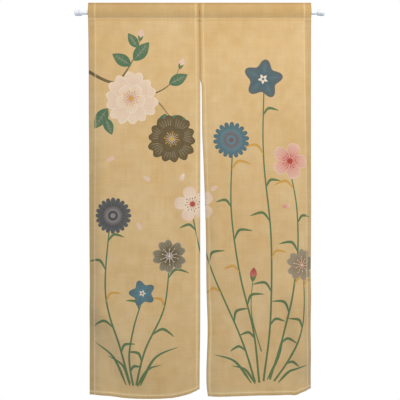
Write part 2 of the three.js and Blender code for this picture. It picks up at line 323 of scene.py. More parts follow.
    def normals(self, across, down):
        """The way out of the front of the cloth."""
        low, high = np.clip(across - PROBE, 0, PANEL_WIDTH), np.clip(across + PROBE, 0, PANEL_WIDTH)
        u = self.places(high, down) - self.places(low, down)
        v = self.places(across, np.minimum(down + PROBE, PANEL_HEIGHT)) - self.places(across, down - PROBE)
        n = np.cross(v, u) * self.side
        return n / np.linalg.norm(n, axis=1, keepdims=True)


PANELS = [
    Panel("left", -1, LEFT_FALL, LEFT_HEM_RISE, LEFT_CREASES),
    Panel("right", 1, RIGHT_FALL, RIGHT_HEM_RISE, RIGHT_CREASES),
]


# Colours, as they look, from 0 to 255

CLOTH_DEEP = (213, 174, 116)
CLOTH_PALE = (221, 188, 138)
THREAD_DEEP = (236, 206, 156)
THREAD_PALE = (250, 226, 181)

# Painted shade and highlight: doubled cloth is multiplied by a painted shade for less light through it;
# stitch lines fade to a painted highlight, and edges and the seam's groove to painted shade
DOUBLED_SHADE = (233, 229, 217)
STITCH_HIGHLIGHT = (252, 222, 168)
EDGE_SHADE = (132, 96, 58)
GROOVE_SHADE = (172, 116, 20)

INK = {
    "cream": (238, 216, 190), "blush": (228, 192, 168), "red": (176, 64, 54),
    "charcoal": (40, 46, 58), "silver": (148, 146, 146), "teal": (72, 124, 136),
    "maroon": (112, 54, 56), "taupe": (140, 116, 90), "rust": (178, 100, 68),
    "olive": (76, 64, 38), "ash": (160, 150, 128), "rose": (216, 132, 122),
    "deep_red": (170, 50, 44), "blue": (46, 90, 104), "slate": (78, 90, 96),
    "stem": (84, 112, 66), "leaf": (66, 112, 80), "deep_leaf": (54, 106, 78),
    "ochre": (206, 154, 68), "twig": (156, 128, 82), "bronze": (98, 82, 52),
    "pale_pink": (226, 194, 168),
}


def linear(colour):
    """A colour as light, from 0 to 1."""
    c = np.array(colour, float) / 255
    return np.where(c <= 0.04045, c / 12.92, ((c + 0.055) / 1.055) ** 2.4)


# The print: flat shapes in the order they are printed, on a plane whose x runs to the right of the seam and
# whose y runs down from the top fold. Each shape fades from one colour to another, outwards from a place.
# A flower's sizes are parts of its radius, and angles are in degrees, clockwise from straight up.

SHAPES = []


def paint(points, inner, outer=None, centre=None, radius=1.0):
    """Adds one shape to the print."""
    points = np.array(points, float)
    x, y = points[:, 0], points[:, 1]
    if np.sum(x * np.roll(y, -1) - np.roll(x, -1) * y) < 0:
        points = points[::-1]
    inner_colour = linear(INK[inner])
    outer_colour = linear(INK[outer or inner])
    centre = points.mean(0) if centre is None else centre
    SHAPES.append((points, inner_colour, outer_colour, centre, radius))


def polar(centre, angle, distance):
    a = radians(angle)
    return np.array([centre[0] + distance * sin(a), centre[1] - distance * cos(a)])


def disc(centre, radius, inner, outer=None, steps=28):
    ring = [polar(centre, 360 * i / steps, radius) for i in range(steps)]
    paint(ring, inner, outer, centre, radius)


def petal(centre, angle, start, end, half, tip="round", steps=9):
    """The outline of a petal that points away from a centre."""
    sides = []
    for i in range(steps + 1):
        s = pi * i / steps
        part = (1 - cos(s)) / 2
        if tip == "point":
            width = half * max(0, sin(pi * part**0.85)) ** 0.9
        else:
            width = half * max(0, sin(s)) ** 0.75 * (0.62 + 0.38 * part)
        run = start + (end - start) * part
        if tip == "notch":
            run -= 0.16 * (end - start) * exp(-((width / (0.32 * half)) ** 2)) * (part > 0.8)
        sides.append((run, width))
    out = radians(angle)
    up, over = np.array([sin(out), -cos(out)]), np.array([cos(out), sin(out)])
    left = [centre + run * up - width * over for run, width in sides]
    right = [centre + run * up + width * over for run, width in sides[-2:0:-1]]
    return left + right


def rimmed_petal(centre, radius, angle, rim_size, fill_size, rim, fill, fade, tip="round", steps=9):
    """A petal on a slightly larger one in its rim's colour. A size is a start, an end and half a width."""
    for size, ink in ((rim_size, rim), (fill_size, fill)):
        start, end, half = (part * radius for part in size)
        paint(petal(centre, angle, start, end, half, tip, steps), ink, rim, centre, fade * radius)


def stroke(a, b, width, colour):
    """A thin line that tapers to both ends."""
    run = b - a
    over = np.array([-run[1], run[0]]) / max(np.linalg.norm(run), 1e-6) * width / 2
    near, far = a + 0.3 * run, a + 0.7 * run
    paint([a, near + over, far + over, b, far - over, near - over], colour)


def vein(centre, radius, start, end, width, colour):
    """A thin line between two places on a flower, each an angle and a part of its radius."""
    a, b = (polar(centre, angle, part * radius) for angle, part in (start, end))
    stroke(a, b, width, colour)


def curve(points, step=9.0):
    """Places along a smooth curve through a few points, and the way it runs at each."""
    p = np.array([points[0], *points, points[-1]], float)
    places = []
    for a, b, c, d in zip(p, p[1:], p[2:], p[3:]):
        count = max(2, int(np.linalg.norm(c - b) / step))
        for t in np.linspace(0, 1, count, endpoint=False):
            bend = (2 * a - 5 * b + 4 * c - d) * t**2
            places.append(0.5 * (2 * b + (c - a) * t + bend + (3 * b - a - 3 * c + d) * t**3))
    places.append(p[-1])
    places = np.array(places)
    way = np.gradient(places, axis=0)
    return places, way / np.linalg.norm(way, axis=1, keepdims=True)


def ribbon(points, widths, inner, outer=None, step=9.0):
    """A band along a curve, whose width goes evenly through a few values."""
    places, way = curve(points, step)
    half = np.interp(np.linspace(0, 1, len(places)), np.linspace(0, 1, len(widths)), widths) / 2
    over = np.stack([-way[:, 1], way[:, 0]], 1) * half[:, None]
    length = np.linalg.norm(places[-1] - places[0])
    paint([*(places + over), *(places - over)[::-1]], inner, outer, places[0], length)
    return places, way


def blade(base, angle, length, width, bend, inner, outer):
    """A slender leaf that bends over to one side."""
    tip = polar(base, angle + bend, length)
    belly = polar(base, angle + 0.1 * bend, 0.55 * length)
    ribbon([base, belly, tip], [0.6, 0.75 * width, width, 0.7 * width, 0.5], inner, outer, 7.0)


def broad_leaf(base, angle, length, half):
    """A broad leaf with its midrib and veins left lighter."""
    outline = petal(base, angle, 0, length, half, "point", 12)
    paint(outline, "deep_leaf", "leaf", base, length)
    stroke(base, polar(base, angle, 0.92 * length), 2.2, "ash")
    for part in (0.25, 0.42, 0.58, 0.73):
        start = polar(base, angle, part * length)
        reach = half * 0.72 * sin(pi * part**0.85)
        for way in (-48, 48):
            stroke(start, polar(start, angle + way, reach), 1.2, "ash")


def stamens(centre, count, reach, colour, tip, turn, dot=2.2):
    """Thin threads round a centre, by turns long and short, with a dot at each end."""
    for i in range(count):
        end = polar(centre, turn + 360 * i / count, reach * (1 if i % 2 else 0.8))
        stroke(centre, end, 1.5, colour)
        disc(end, dot, tip, steps=8)


def plum(centre, radius, fill, rim, heart, tip, turn):
    """Five round petals that overlap, with a ring of stamens."""
    for i in range(5):
        angle = turn + 72 * i
        rimmed_petal(centre, radius, angle, (0.06, 1, 0.44), (0.08, 0.955, 0.405), rim, fill, 1.35)
        for side in (-16, 0, 16):
            vein(centre, radius, (angle + side, 0.42), (angle + side, 0.8), 1.3, rim)
    disc(centre, 0.15 * radius, heart)
    stamens(centre, 15, 0.4 * radius, heart, tip, turn + 12)


def chrysanthemum(centre, radius, fill, edge, ring, heart, turn, petals=18):
    """A round head of narrow petals in two rows about a button."""
    for i in range(petals):
        angle = turn + 360 * i / petals
        rimmed_petal(centre, radius, angle, (0.3, 1, 0.155), (0.3, 0.965, 0.118), edge, fill, 1.5)
        vein(centre, radius, (angle, 0.66), (angle, 0.88), 1.2, edge)
    disc(centre, 0.56 * radius, fill)
    for i in range(petals):
        angle = turn + 360 * (i + 0.5) / petals
        outline = petal(centre, angle, 0.2 * radius, 0.62 * radius, 0.082 * radius)
        paint(outline, ring, fill, centre, 0.75 * radius)
    disc(centre, 0.27 * radius, fill)
    disc(centre, 0.19 * radius, heart, fill)
    for i in range(9):
        disc(polar(centre, turn + 40 * i, 0.11 * radius), 2.0, ring, steps=8)


def bellflower(centre, radius, fill, edge, mark, heart, turn):
    """A star of five pointed lobes, joined half-way, with veins to their tips."""
    lobes = [(angle, 0.66 + 0.34 * abs(cos(radians(2.5 * angle))) ** 2.2) for angle in range(0, 360, 6)]
    for scale, ink in ((1, edge), (0.95, fill)):
        ring = [polar(centre, turn + angle, scale * radius * part) for angle, part in lobes]
        paint(ring, ink, edge, centre, 1.5 * radius)
    for i in range(5):
        angle = turn + 72 * i
        vein(centre, radius, (angle, 0.2), (angle, 0.92), 2.0, mark)
        for side in (-13, 13):
            vein(centre, radius, (angle + side, 0.3), (angle + side / 2, 0.74), 1.2, mark)
    for i in range(5):
        paint(petal(centre, turn + 36 + 72 * i, 0, 0.26 * radius, 0.07 * radius, "point", 6), heart)
    disc(centre, 0.07 * radius, mark)


def cherry(centre, radius, fill, rim, ring, heart, turn):
    """Five notched petals, parted by slender gaps, with long stamens."""
    rim_size, fill_size = (0.05, 1, 0.47), (0.07, 0.95, 0.43)
    for i in range(5):
        angle = turn + 72 * i
        rimmed_petal(centre, radius, angle, rim_size, fill_size, rim, fill, 1.6, "notch", 13)
        for side in (-20, -7, 7, 20):
            vein(centre, radius, (angle + side, 0.5), (angle + side, 0.82), 1.2, rim)
    disc(centre, 0.3 * radius, ring, fill)
    disc(centre, 0.2 * radius, fill, ring)
    stamens(centre, 10, 0.5 * radius, heart, heart, turn + 18, 2.0)
    disc(centre, 0.06 * radius, heart)


def camellia(centre, radius, fill, rim, mark, heart, turn):
    """A large open flower of broad petals round a brush of stamens."""
    for i, reach in enumerate((1.0, 0.94, 1.02, 0.95, 1.0, 0.92, 0.97)):
        angle = turn + 360 * i / 7
        rim_size, fill_size = (0.06, reach, 0.4), (0.08, reach - 0.035, 0.37)
        rimmed_petal(centre, radius, angle, rim_size, fill_size, rim, fill, 1.7, "notch", 13)
        for side in (-18, -9, 0, 9, 18):
            vein(centre, radius, (angle + 0.7 * side, 0.44), (angle + side, 0.84 * reach), 1.4, mark)
    for i in range(5):
        angle = turn + 25 + 72 * i
        rimmed_petal(centre, radius, angle, (0.02, 0.52, 0.24), (0.03, 0.49, 0.215), rim, fill, 0.9)
    stamens(centre, 16, 0.27 * radius, heart, "ochre", turn, 2.6)
    disc(centre, 0.08 * radius, "ochre")


def stalk(points, side, leaves, size=74):
    """A stem that thins upwards, with leaves on alternate sides and every third one ochre."""
    places, way = ribbon(points, [8, 7, 6, 4.5], "stem", "leaf")
    for i in range(leaves):
        at = int(len(places) * (0.2 + (0.9 - 0.2) * i / (leaves - 1)))
        angle = degrees(atan2(way[at][0], -way[at][1]))
        length = size * (1.1 if i % 2 else 0.85)
        inner, outer = ("ochre", None) if i % 3 == 2 else ("leaf", "stem")
        blade(places[at], angle + 30 * side, length, 11, 40 * side, inner, outer)
        side = -side


def bud(base, angle, length, fill, edge):
    """A closed bud in its green cup."""
    paint(petal(base, angle, 0.1 * length, length, 0.27 * length, "point", 8), fill, edge, base, length)
    stroke(polar(base, angle, 0.3 * length), polar(base, angle, 0.86 * length), 1.6, edge)
    for way in (-24, 24):
        sepal = petal(base, angle + way, -0.08 * length, 0.5 * length, 0.1 * length, "point", 6)
        paint(sepal, "leaf", "stem")


def compose_print():
    """Large flowers on a branch from the upper left, and round ones on stems from below."""
    # Branch
    for points, widths in (
        (((-425, 262), (-352, 300), (-262, 318), (-168, 372), (-104, 452)), (13, 10.5, 9, 7, 4)),
        (((-312, 306), (-276, 256), (-240, 190), (-228, 140)), (8, 6, 4, 2.5)),
        (((-196, 352), (-148, 336), (-104, 300), (-76, 244)), (7, 5, 3.5, 2)),
        (((-342, 302), (-334, 352), (-352, 420), (-366, 470)), (7, 5, 3.5, 2)),
    ):
        ribbon(points, widths, "bronze", "twig")
    for leaf in (
        ((-252, 222), 40, 92, 25), ((-262, 240), -58, 84, 23), ((-236, 172), -34, 66, 18),
        ((-350, 404), 214, 92, 25), ((-340, 362), 128, 74, 20), ((-358, 440), 158, 70, 19),
        ((-118, 312), 62, 80, 22), ((-132, 424), 192, 90, 24), ((-116, 438), 112, 84, 22),
    ):
        broad_leaf(*leaf)
    bud((-228, 146), 10, 46, "pale_pink", "blush")
    bud((-78, 252), 22, 44, "pale_pink", "blush")
    # Stems at the lower right
    stalk([(246, 1440), (304, 1250), (352, 1010), (356, 800), (334, 650)], 1, 6)
    stalk([(206, 1452), (184, 1260), (128, 1010), (102, 790), (112, 574)], -1, 6)
    stalk([(222, 1446), (250, 1200), (254, 900), (232, 600), (238, 340)], 1, 7)
    stalk([(190, 1450), (150, 1320), (78, 1150), (8, 980), (-28, 820)], -1, 5)
    stalk([(262, 1446), (326, 1352), (376, 1220), (382, 1056)], 1, 3, 60)
    ribbon([(214, 1330), (176, 1190), (182, 1060)], [5, 4, 3], "stem", "leaf")
    bud((182, 1060), 6, 52, "rose", "deep_red")
    # Stems at the lower left
    stalk([(-262, 1446), (-296, 1310), (-352, 1110), (-340, 870)], 1, 5)
    stalk([(-238, 1450), (-204, 1320), (-138, 1170), (-118, 1018)], -1, 4)
    stalk([(-250, 1452), (-262, 1350), (-246, 1240), (-222, 1150)], 1, 2, 56)
    # Leaves at the feet of the stems
    for points in (
        ((-276, 1452), (-322, 1350), (-398, 1296)), ((-262, 1454), (-286, 1380), (-344, 1346)),
        ((-224, 1452), (-168, 1348), (-82, 1310)), ((-234, 1454), (-196, 1392), (-146, 1374)),
        ((176, 1454), (112, 1368), (30, 1342)), ((190, 1456), (152, 1400), (100, 1384)),
        ((278, 1452), (330, 1404), (400, 1392)), ((236, 1440), (282, 1346), (300, 1262)),
    ):
        ribbon(points, [3, 10, 9, 6, 1], "stem", "leaf")
    # Large flowers
    camellia((-262, 366), 108, "pale_pink", "cream", "blush", "red", 8)
    camellia((-108, 520), 98, "bronze", "olive", "ash", "cream", 31)
    # Round flowers
    bellflower((238, 292), 76, "blue", "slate", "teal", "cream", 10)
    chrysanthemum((110, 524), 69, "teal", "blue", "maroon", "maroon", 4)
    plum((332, 604), 70, "rose", "blush", "deep_red", "deep_red", 20)
    plum((-30, 768), 68, "cream", "blush", "red", "olive", -14)
    cherry((374, 1000), 64, "taupe", "ash", "rust", "cream", 12)
    chrysanthemum((-326, 812), 69, "charcoal", "slate", "silver", "silver", 0, 20)
    cherry((-116, 966), 66, "olive", "ash", "silver", "cream", -20)
    bellflower((-216, 1106), 50, "teal", "blue", "slate", "cream", -16)
    # Fallen petals
    for place, angle, fill in (
        ((-214, 664), 118, "pale_pink"), ((-350, 604), 62, "blush"), ((-62, 652), 205, "cream"),
        ((-236, 838), 150, "blush"), ((300, 780), 72, "rose"), ((52, 700), 240, "blush"),
    ):
        paint(petal(place, angle, 0, 30, 10), fill, "blush", place, 34)


# Cloth meshes

def columns_of(outer_hem):
    """Where the mesh has points across a panel, closer together at its edges and hems."""
    line = PANEL_WIDTH - outer_hem
    inner = [*EDGE_STEPS, 6, INNER_HEM - 2, INNER_HEM, INNER_HEM + HEM_STEP, INNER_HEM + 2]
    field = np.linspace(INNER_HEM + 7, line - 7, FIELD_COLUMNS)
    outer = [line - 2, line - HEM_STEP, line, line + 2, line + 8, line + 14]
    edge = [PANEL_WIDTH - x for x in (6, *EDGE_STEPS[::-1])]
    return np.array([*inner, *field, *outer, *edge])


def rows_of():
    """Where the mesh has points down a panel."""
    pocket = [0, 0.15, 0.4, 0.8, 1.2, 2, 4, 7, *range(11, 57, 4), 58]
    stitches = [POCKET_HEIGHT, 62, 65, 68, FOLD_END - HEM_STEP, FOLD_END, FOLD_END + 2]
    back = [-x for x in (*pocket[1:], POCKET_HEIGHT, 64, 68, FOLD_END)]
    line = PANEL_HEIGHT - BOTTOM_HEM
    field = np.linspace(FOLD_END + 7, line - 8, FIELD_ROWS)
    hem = [line - 2, line - HEM_STEP, line, line + 2, line + 7]
    edge = [PANEL_HEIGHT - x for x in EDGE_STEPS]
    return np.array(sorted({*pocket, *stitches, *back, *field, *hem, *edge}))


def clear_of_print(panel, grid, outlines):
    """A grid without its places close to the print's outlines, but for those at edges and hems."""
    taken = set()
    for outline in outlines:
        for a, b in zip(outline, np.roll(outline, -1, 0)):
            t = np.linspace(0, 1, max(2, int(np.linalg.norm(b - a)) + 1))[:, None]
            taken.update(map(tuple, ((a + (b - a) * t) // PRINT_MARGIN).astype(int)))
    across, down = grid.T
    inside = (across > INNER_HEM + 3) & (across < PANEL_WIDTH - panel.outer_hem(down) - 3)
    inside &= (down > FOLD_END + 5) & (down < PANEL_HEIGHT - BOTTOM_HEM - 3)
    near = np.array([
        any((i + u, j + v) in taken for u in (-1, 0, 1) for v in (-1, 0, 1))
        for i, j in (grid // PRINT_MARGIN).astype(int)
    ])
    return grid[~(inside & near)]


def layout(panel):
    """A panel's flat mesh, with the print's outlines in it: its points, its triangles and the shape printed
    on each, or -1."""
    low, high = -FOLD_END, PANEL_HEIGHT
    rows = rows_of()
    grid = np.array([(a, d) for d in rows for a in columns_of(panel.outer_hem(d))])
    outlines, ids = [], []
    for k, shape in enumerate(SHAPES):
        outline = shape[0] * [panel.side, 1]
        first, last = outline.min(0), outline.max(0)
        if last[0] > 0 and first[0] < PANEL_WIDTH and last[1] > -POCKET_HEIGHT and first[1] < PANEL_HEIGHT:
            outlines.append(outline if panel.side > 0 else outline[::-1])
            ids.append(k)
    points = [Vector(p) for p in clear_of_print(panel, grid, outlines)]
    faces, lines = [], []
    for outline in outlines:
        faces.append(list(range(len(points), len(points) + len(outline))))
        points += [Vector(p) for p in outline]

    def line(places):
        start = len(points)
        points.extend(Vector(p) for p in places)
        lines.extend((start + i, start + i + 1) for i in range(len(places) - 1))

    for across in (0, INNER_HEM, PANEL_WIDTH):
        line([(across, d) for d in rows])
    line([(PANEL_WIDTH - panel.outer_hem(d), d) for d in rows])
    for down in (low, POCKET_HEIGHT, PANEL_HEIGHT - BOTTOM_HEM, high):
        line([(a, down) for a in columns_of(panel.outer_hem(down))])
    flat, _, triangles, _, _, covers = geometry.delaunay_2d_cdt(points, lines, faces, 0, TINY, True)
    flat = np.array([tuple(p) for p in flat])
    triangles = np.array(triangles)
    across, down = flat[triangles].mean(1).T
    kept = (across > 0) & (across < PANEL_WIDTH) & (down > low) & (down < high)
    a, b, c = (flat[triangles[:, i]] for i in range(3))
    area = (b - a)[:, 0] * (c - a)[:, 1] - (b - a)[:, 1] * (c - a)[:, 0]
    kept &= np.abs(area) > TINY
    printed = np.array([ids[max(f)] if f else -1 for f in covers])
    used, numbers = np.unique(triangles[kept], return_inverse=True)
    return flat[used], numbers.reshape(-1, 3), printed[kept]


def to_edge(across, down):
    """How far places are from the nearest side or bottom edge."""
    return np.minimum(np.minimum(across, PANEL_WIDTH - across), PANEL_HEIGHT - down)


def hem_lines(panel, across, down):
    """How far places are past the outer, bottom and inner hem's stitch lines, in rows."""
    past_outer = across - PANEL_WIDTH + panel.outer_hem(down)
    return np.stack([past_outer, down - PANEL_HEIGHT + BOTTOM_HEM, INNER_HEM - across])


# Painted shade and highlight tones, from 0 to 1, and the sizes of the places that have them
HEM_SHADE_TONE = 0.62
INNER_HEM_SHADE_TONE = 0.3
ALLOWANCE_SHADE_TONE = 0.4
POCKET_FOOT = 5
POCKET_FOOT_WIDTH = 5
POCKET_FOOT_LIGHT_TONE = 0.55
STITCH_BAND = 2.2
STITCH_BAND_FULL = 1.3
POCKET_HIGHLIGHT_TONE = 0.25
HEM_HIGHLIGHT_TONE = 0.65
HIGHLIGHT_GAIN_TONE = 0.7
HIGHLIGHT_GAIN_START = 700
HIGHLIGHT_GAIN_EASE = 600
EDGE_SHADE_TONE = 0.8
TOP_SHADE_PLACE = 5.0
TOP_SHADE_WIDTH = 3.5
TOP_SHADE_TONE = 0.75
SEAM_SHADE = 3.2
SHOW_THROUGH = 0.45


def painted_light_tones(panel, across, down):
    """How much painted shade and painted highlight each place gets, in columns: painted shade on doubled
    cloth, a painted highlight along stitch lines, painted shade at edges and along the top fold, and painted
    shade in the seam's groove.
    """
    lines = hem_lines(panel, across, down)
    hems = clamp(lines / HEM_STEP + 1)
    hem = np.maximum(hems[:2].max(0), INNER_HEM_SHADE_TONE * hems[2])
    pocket = clamp((POCKET_HEIGHT + 1 - down) / HEM_STEP)
    allowance = clamp((FOLD_END - down) / HEM_STEP)
    # Painted shade: doubled cloth in the hems, pocket and allowance is darker, standing in for less light
    # shining through it.
    doubled = np.maximum(HEM_SHADE_TONE * hem, np.maximum(pocket, ALLOWANCE_SHADE_TONE * allowance))
    # Painted light: the doubled cloth's painted shade is eased just above the pocket's stitch line, lifting
    # the shade there.
    foot = (down - POCKET_HEIGHT + POCKET_FOOT) / POCKET_FOOT_WIDTH
    doubled -= POCKET_FOOT_LIGHT_TONE * np.exp(-(foot**2))
    # Painted highlight along the hem and pocket stitch lines, stronger lower down the panel.
    highlight_gain = HIGHLIGHT_GAIN_TONE * smooth((down - HIGHLIGHT_GAIN_START) / HIGHLIGHT_GAIN_EASE)
    hem_highlight = clamp(STITCH_BAND_FULL - np.abs(lines).min(0) / STITCH_BAND)
    pocket_highlight = clamp(STITCH_BAND_FULL - np.abs(down - POCKET_HEIGHT) / STITCH_BAND)
    light = np.maximum(hem_highlight * (HEM_HIGHLIGHT_TONE + highlight_gain), POCKET_HIGHLIGHT_TONE * pocket_highlight)
    # Painted shade at the side and bottom edges, where the cloth turns away, and along the top fold.
    edge = EDGE_SHADE_TONE * clamp(1 - to_edge(across, down) / SHOULDER)
    top = TOP_SHADE_TONE * np.exp(-(((np.abs(down) - TOP_SHADE_PLACE) / TOP_SHADE_WIDTH) ** 2))
    # Painted shade in the seam's groove, warm as light bounced inside it.
    seam = np.where(down <= SEAM_LENGTH, np.exp(-across / SEAM_SHADE), 0)
    return np.stack([doubled, light, np.maximum(edge, top), seam], 1)


def cloth_shells(panel, flat):
    """The front and the back of the cloth at places of the flat mesh."""
    across, down = flat.T
    lines = hem_lines(panel, across, down)
    doubled = clamp(lines.max(0) / HEM_STEP + 1)
    stitched = clamp(1 - np.abs(lines).min(0) / STITCH_SINK_WIDTH)
    thick = CLOTH + HEM_LAYERS * doubled
    radius = (CLOTH + HEM_LAYERS) / 2
    from_edge = clamp(to_edge(across, down) / radius)
    round_edge = np.sqrt(np.clip(1 - (1 - from_edge) ** 2, 0.01, 1))
    sink = STITCH_SINK * stitched + thick / 2 * (1 - round_edge)
    sink += SHOULDER_DROP * clamp(1 - across / SHOULDER) ** 2
    normal = panel.normals(across, down)
    front = panel.places(across, down) - normal * sink[:, None]
    return front, front - normal * (thick * round_edge)[:, None]


def add_object(name, data):
    obj = bpy.data.objects.new(name, data)
    bpy.context.scene.collection.objects.link(obj)
    return obj


def add_mesh(name, points, faces, material):
    """A smooth mesh in the scene, from points in millimetres."""
    mesh = bpy.data.meshes.new(name)
    mesh.from_pydata((np.array(points) * MM).tolist(), [], faces)
    mesh.validate()
    mesh.polygons.foreach_set("use_smooth", np.ones(len(mesh.polygons), bool))
    mesh.materials.append(material)
    return add_object(name, mesh)


def print_colours(flat, triangles, printed, side):
    """The print's colour and how much ink there is, at each corner of each triangle."""
    colours = np.zeros((len(triangles), 3, 4))
    for k in np.unique(printed[printed >= 0]):
        _, inner, outer, centre, radius = SHAPES[k]
        rows = np.flatnonzero(printed == k)
        away = np.linalg.norm(flat[triangles[rows]] * [side, 1] - centre, axis=2) / radius
        t = smooth(away)[..., None]
        colours[rows, :, :3] = inner * (1 - t) + outer * t
        colours[rows, :, 3] = 1
    return colours


# A panel's map on a unit square: its front to the left with its rim round it, and its back to the right
MAP_SIZE = (0.46, -0.95)
FRONT_MIDDLE = 0.25
BACK_MIDDLE = 0.75
RIM_GROWTH = 1.02


def flat_map(flat, middle, growth=1.0):
    """Places of the flat cloth on the map."""
    part = (flat + [0, FOLD_END]) / [PANEL_WIDTH, PANEL_HEIGHT + FOLD_END] - 0.5
    return part * [growth * size for size in MAP_SIZE] + [middle, 0.5]


def rim_walls(triangles, count):
    """Triangles that join a sheet's rim to that of its back, whose points come a count later."""
    edges = np.concatenate([triangles[:, [0, 1]], triangles[:, [1, 2]], triangles[:, [2, 0]]])
    pairs = dict.fromkeys(map(tuple, edges.tolist()))
    a, b = np.array([(a, b) for a, b in pairs if (b, a) not in pairs]).T
    return np.concatenate([np.stack([b, a, a + count], 1), np.stack([b, a + count, b + count], 1)])


def make_cloth(panel, material):
    """A panel's cloth, with the values that its material reads and its map."""
    flat, triangles, printed = layout(panel)
    count = len(flat)
    across, down = flat.T
    colours = print_colours(flat, triangles, printed, panel.side)
    if panel.side > 0:
        triangles, colours = triangles[:, ::-1], colours[:, ::-1]
    turned, walls = triangles[:, ::-1], rim_walls(triangles, count)
    faces = np.concatenate([triangles, turned + count, walls])
    points = np.concatenate(cloth_shells(panel, flat))
    cloth = add_mesh(f"cloth_{panel.name}", points, faces.tolist(), material)
    place = np.stack([across * MM, down * MM, np.full(count, float(panel.side))], 1)
    # Painted shade and highlight, which the cloth's material reads
    painted_light = painted_light_tones(panel, across, down)
    through = colours[:, ::-1].copy()
    through[..., 3] *= SHOW_THROUGH * (painted_light[turned, 0] < 0.5)
    bare = np.zeros((len(walls), 3, 4))
    for name, kind, domain, key, values in (
        ("cloth_at", "FLOAT_VECTOR", "POINT", "vector", (place, place)),
        ("painted_light", "FLOAT_COLOR", "POINT", "color", (painted_light, painted_light)),
        ("print", "FLOAT_COLOR", "CORNER", "color", (colours, through, bare)),
    ):
        attribute = cloth.data.attributes.new(name, kind, domain)
        attribute.data.foreach_set(key, np.concatenate(values).ravel())
    front_map, back_map = flat_map(flat, FRONT_MIDDLE), flat_map(flat, BACK_MIDDLE)
    rim_map = np.concatenate([front_map, flat_map(flat, FRONT_MIDDLE, RIM_GROWTH)])
    corners = np.concatenate([front_map[triangles], back_map[turned], rim_map[walls]])
    cloth.data.uv_layers.new(name="OFBake").data.foreach_set("uv", corners.ravel())
    return cloth


# Thread: short stitches on the cloth. A stitch has a few rings, each at a part of its length and with a part
# of its width. A ring's points are to the side and up.
STITCH_RINGS = ((0.12, 0.75), (0.5, 1.0), (0.88, 0.75))
STITCH_SECTION = ((-0.5, -0.25), (-0.36, 0.3), (0.0, 0.46), (0.36, 0.3), (0.5, -0.25))


def add_stitches(name, starts, ends, ups, material):
    """A mesh with a stitch for each start and end and its way up."""
    run = ends - starts
    over = np.cross(run, ups)
    over /= np.linalg.norm(over, axis=1, keepdims=True)
    rings = [(starts - STITCH_TUCK * ups)[:, None]]
    for part, swell in STITCH_RINGS:
        middle, width = starts + run * part, STITCH_WIDTH * swell
        ring = [middle + width * (side * over + lift * ups) for side, lift in STITCH_SECTION]
        rings.append(np.stack(ring, 1))
    rings.append((ends - STITCH_TUCK * ups)[:, None])
    points = np.concatenate(rings, 1)
    count, last = len(STITCH_SECTION), points.shape[1] - 1
    faces = [(0, i, i + 1) for i in range(1, count)]
    for ring in range(len(STITCH_RINGS) - 1):
        for i in range(1 + count * ring, count * (ring + 1)):
            faces += [(i, i + count, i + count + 1), (i, i + count + 1, i + 1)]
    faces += [(i, last, i + 1) for i in range(last - count, last - 1)]
    firsts = np.arange(len(points)) * (last + 1)
    faces = (np.array(faces) + firsts[:, None, None]).reshape(-1, 3)
    return add_mesh(name, points.reshape(-1, 3), faces.tolist(), material)


def stitch_rows(panel):
    """Where a panel's stitches begin and end on the flat cloth."""
    rows = []
    bottom = PANEL_HEIGHT - BOTTOM_HEM
    for d in np.arange(TURN_MARGIN - POCKET_HEIGHT, bottom - STITCH_LENGTH, STITCH_PITCH):
        if abs(d + STITCH_LENGTH / 2) < TURN_MARGIN:
            continue
        ends = (d, d + STITCH_LENGTH)
        rows.append([(INNER_HEM - STITCH_INSET, x) for x in ends])
        rows.append([(PANEL_WIDTH - float(panel.outer_hem(x)) + STITCH_INSET, x) for x in ends])
    for down in (POCKET_HEIGHT, bottom + STITCH_INSET):
        for a in np.arange(ROW_START, PANEL_WIDTH - ROW_END, STITCH_PITCH):
            rows.append(((a, down), (a + STITCH_LENGTH, down)))
    return np.array(rows)


def make_stitching(panel, material):
    """The stitches of a panel's hems and pocket, on its front and its back."""
    starts, ends = stitch_rows(panel).transpose(1, 0, 2)
    up = panel.normals(*((starts + ends) / 2).T)
    starts = np.concatenate(cloth_shells(panel, starts))
    ends = np.concatenate(cloth_shells(panel, ends))
    return add_stitches(f"stitching_{panel.name}", starts, ends, np.concatenate([up, -up]), material)


def make_seam(material):
    """Short stitches across the back of the seam that joins the panels."""
    left, right = PANELS
    down = np.arange(SEAM_START, SEAM_LENGTH - 2, SEAM_PITCH)
    across = np.full(len(down), SEAM_BITE)
    starts = cloth_shells(left, np.stack([across, down], 1))[1]
    ends = cloth_shells(right, np.stack([across, down + SEAM_SLANT], 1))[1]
    return add_stitches("seam_stitches", starts, ends, -left.normals(across, down), material)


# Rod and caps, turned about the rod's axis

def lathe(name, profile, material):
    """A solid of revolution about X, from (x, radius) pairs whose ends are on the axis."""
    inner = profile[1:-1]
    points = [(profile[0][0], 0, 0), (profile[-1][0], 0, 0)]
    for x, r in inner:
        for i in range(ROUND_STEPS):
            a = 2 * pi * i / ROUND_STEPS
            points.append((x, r * cos(a), r * sin(a)))
    last = 2 + (len(inner) - 1) * ROUND_STEPS
    faces = []
    for i in range(ROUND_STEPS):
        j = (i + 1) % ROUND_STEPS
        faces += [(0, 2 + j, 2 + i), (1, last + i, last + j)]
        for k in range(len(inner) - 1):
            a, b = 2 + k * ROUND_STEPS, 2 + (k + 1) * ROUND_STEPS
            faces.append((a + i, a + j, b + j, b + i))
    if profile[0][0] > profile[-1][0]:
        faces = [f[::-1] for f in faces]
    obj = add_mesh(name, points, faces, material)
    obj.data.set_sharp_from_angle(angle=radians(35))
    return obj


def make_rod(material):
    """The rod, with a small chamfer at each end."""
    low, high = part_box("rod")
    left, right, radius = low.x / MM, high.x / MM, high.z / MM
    small = radius - ROD_CHAMFER
    profile = [
        (left, 0), (left, small), (left + ROD_CHAMFER, radius),
        (right - ROD_CHAMFER, radius), (right, small), (right, 0),
    ]
    return lathe("rod_tube", profile, material)


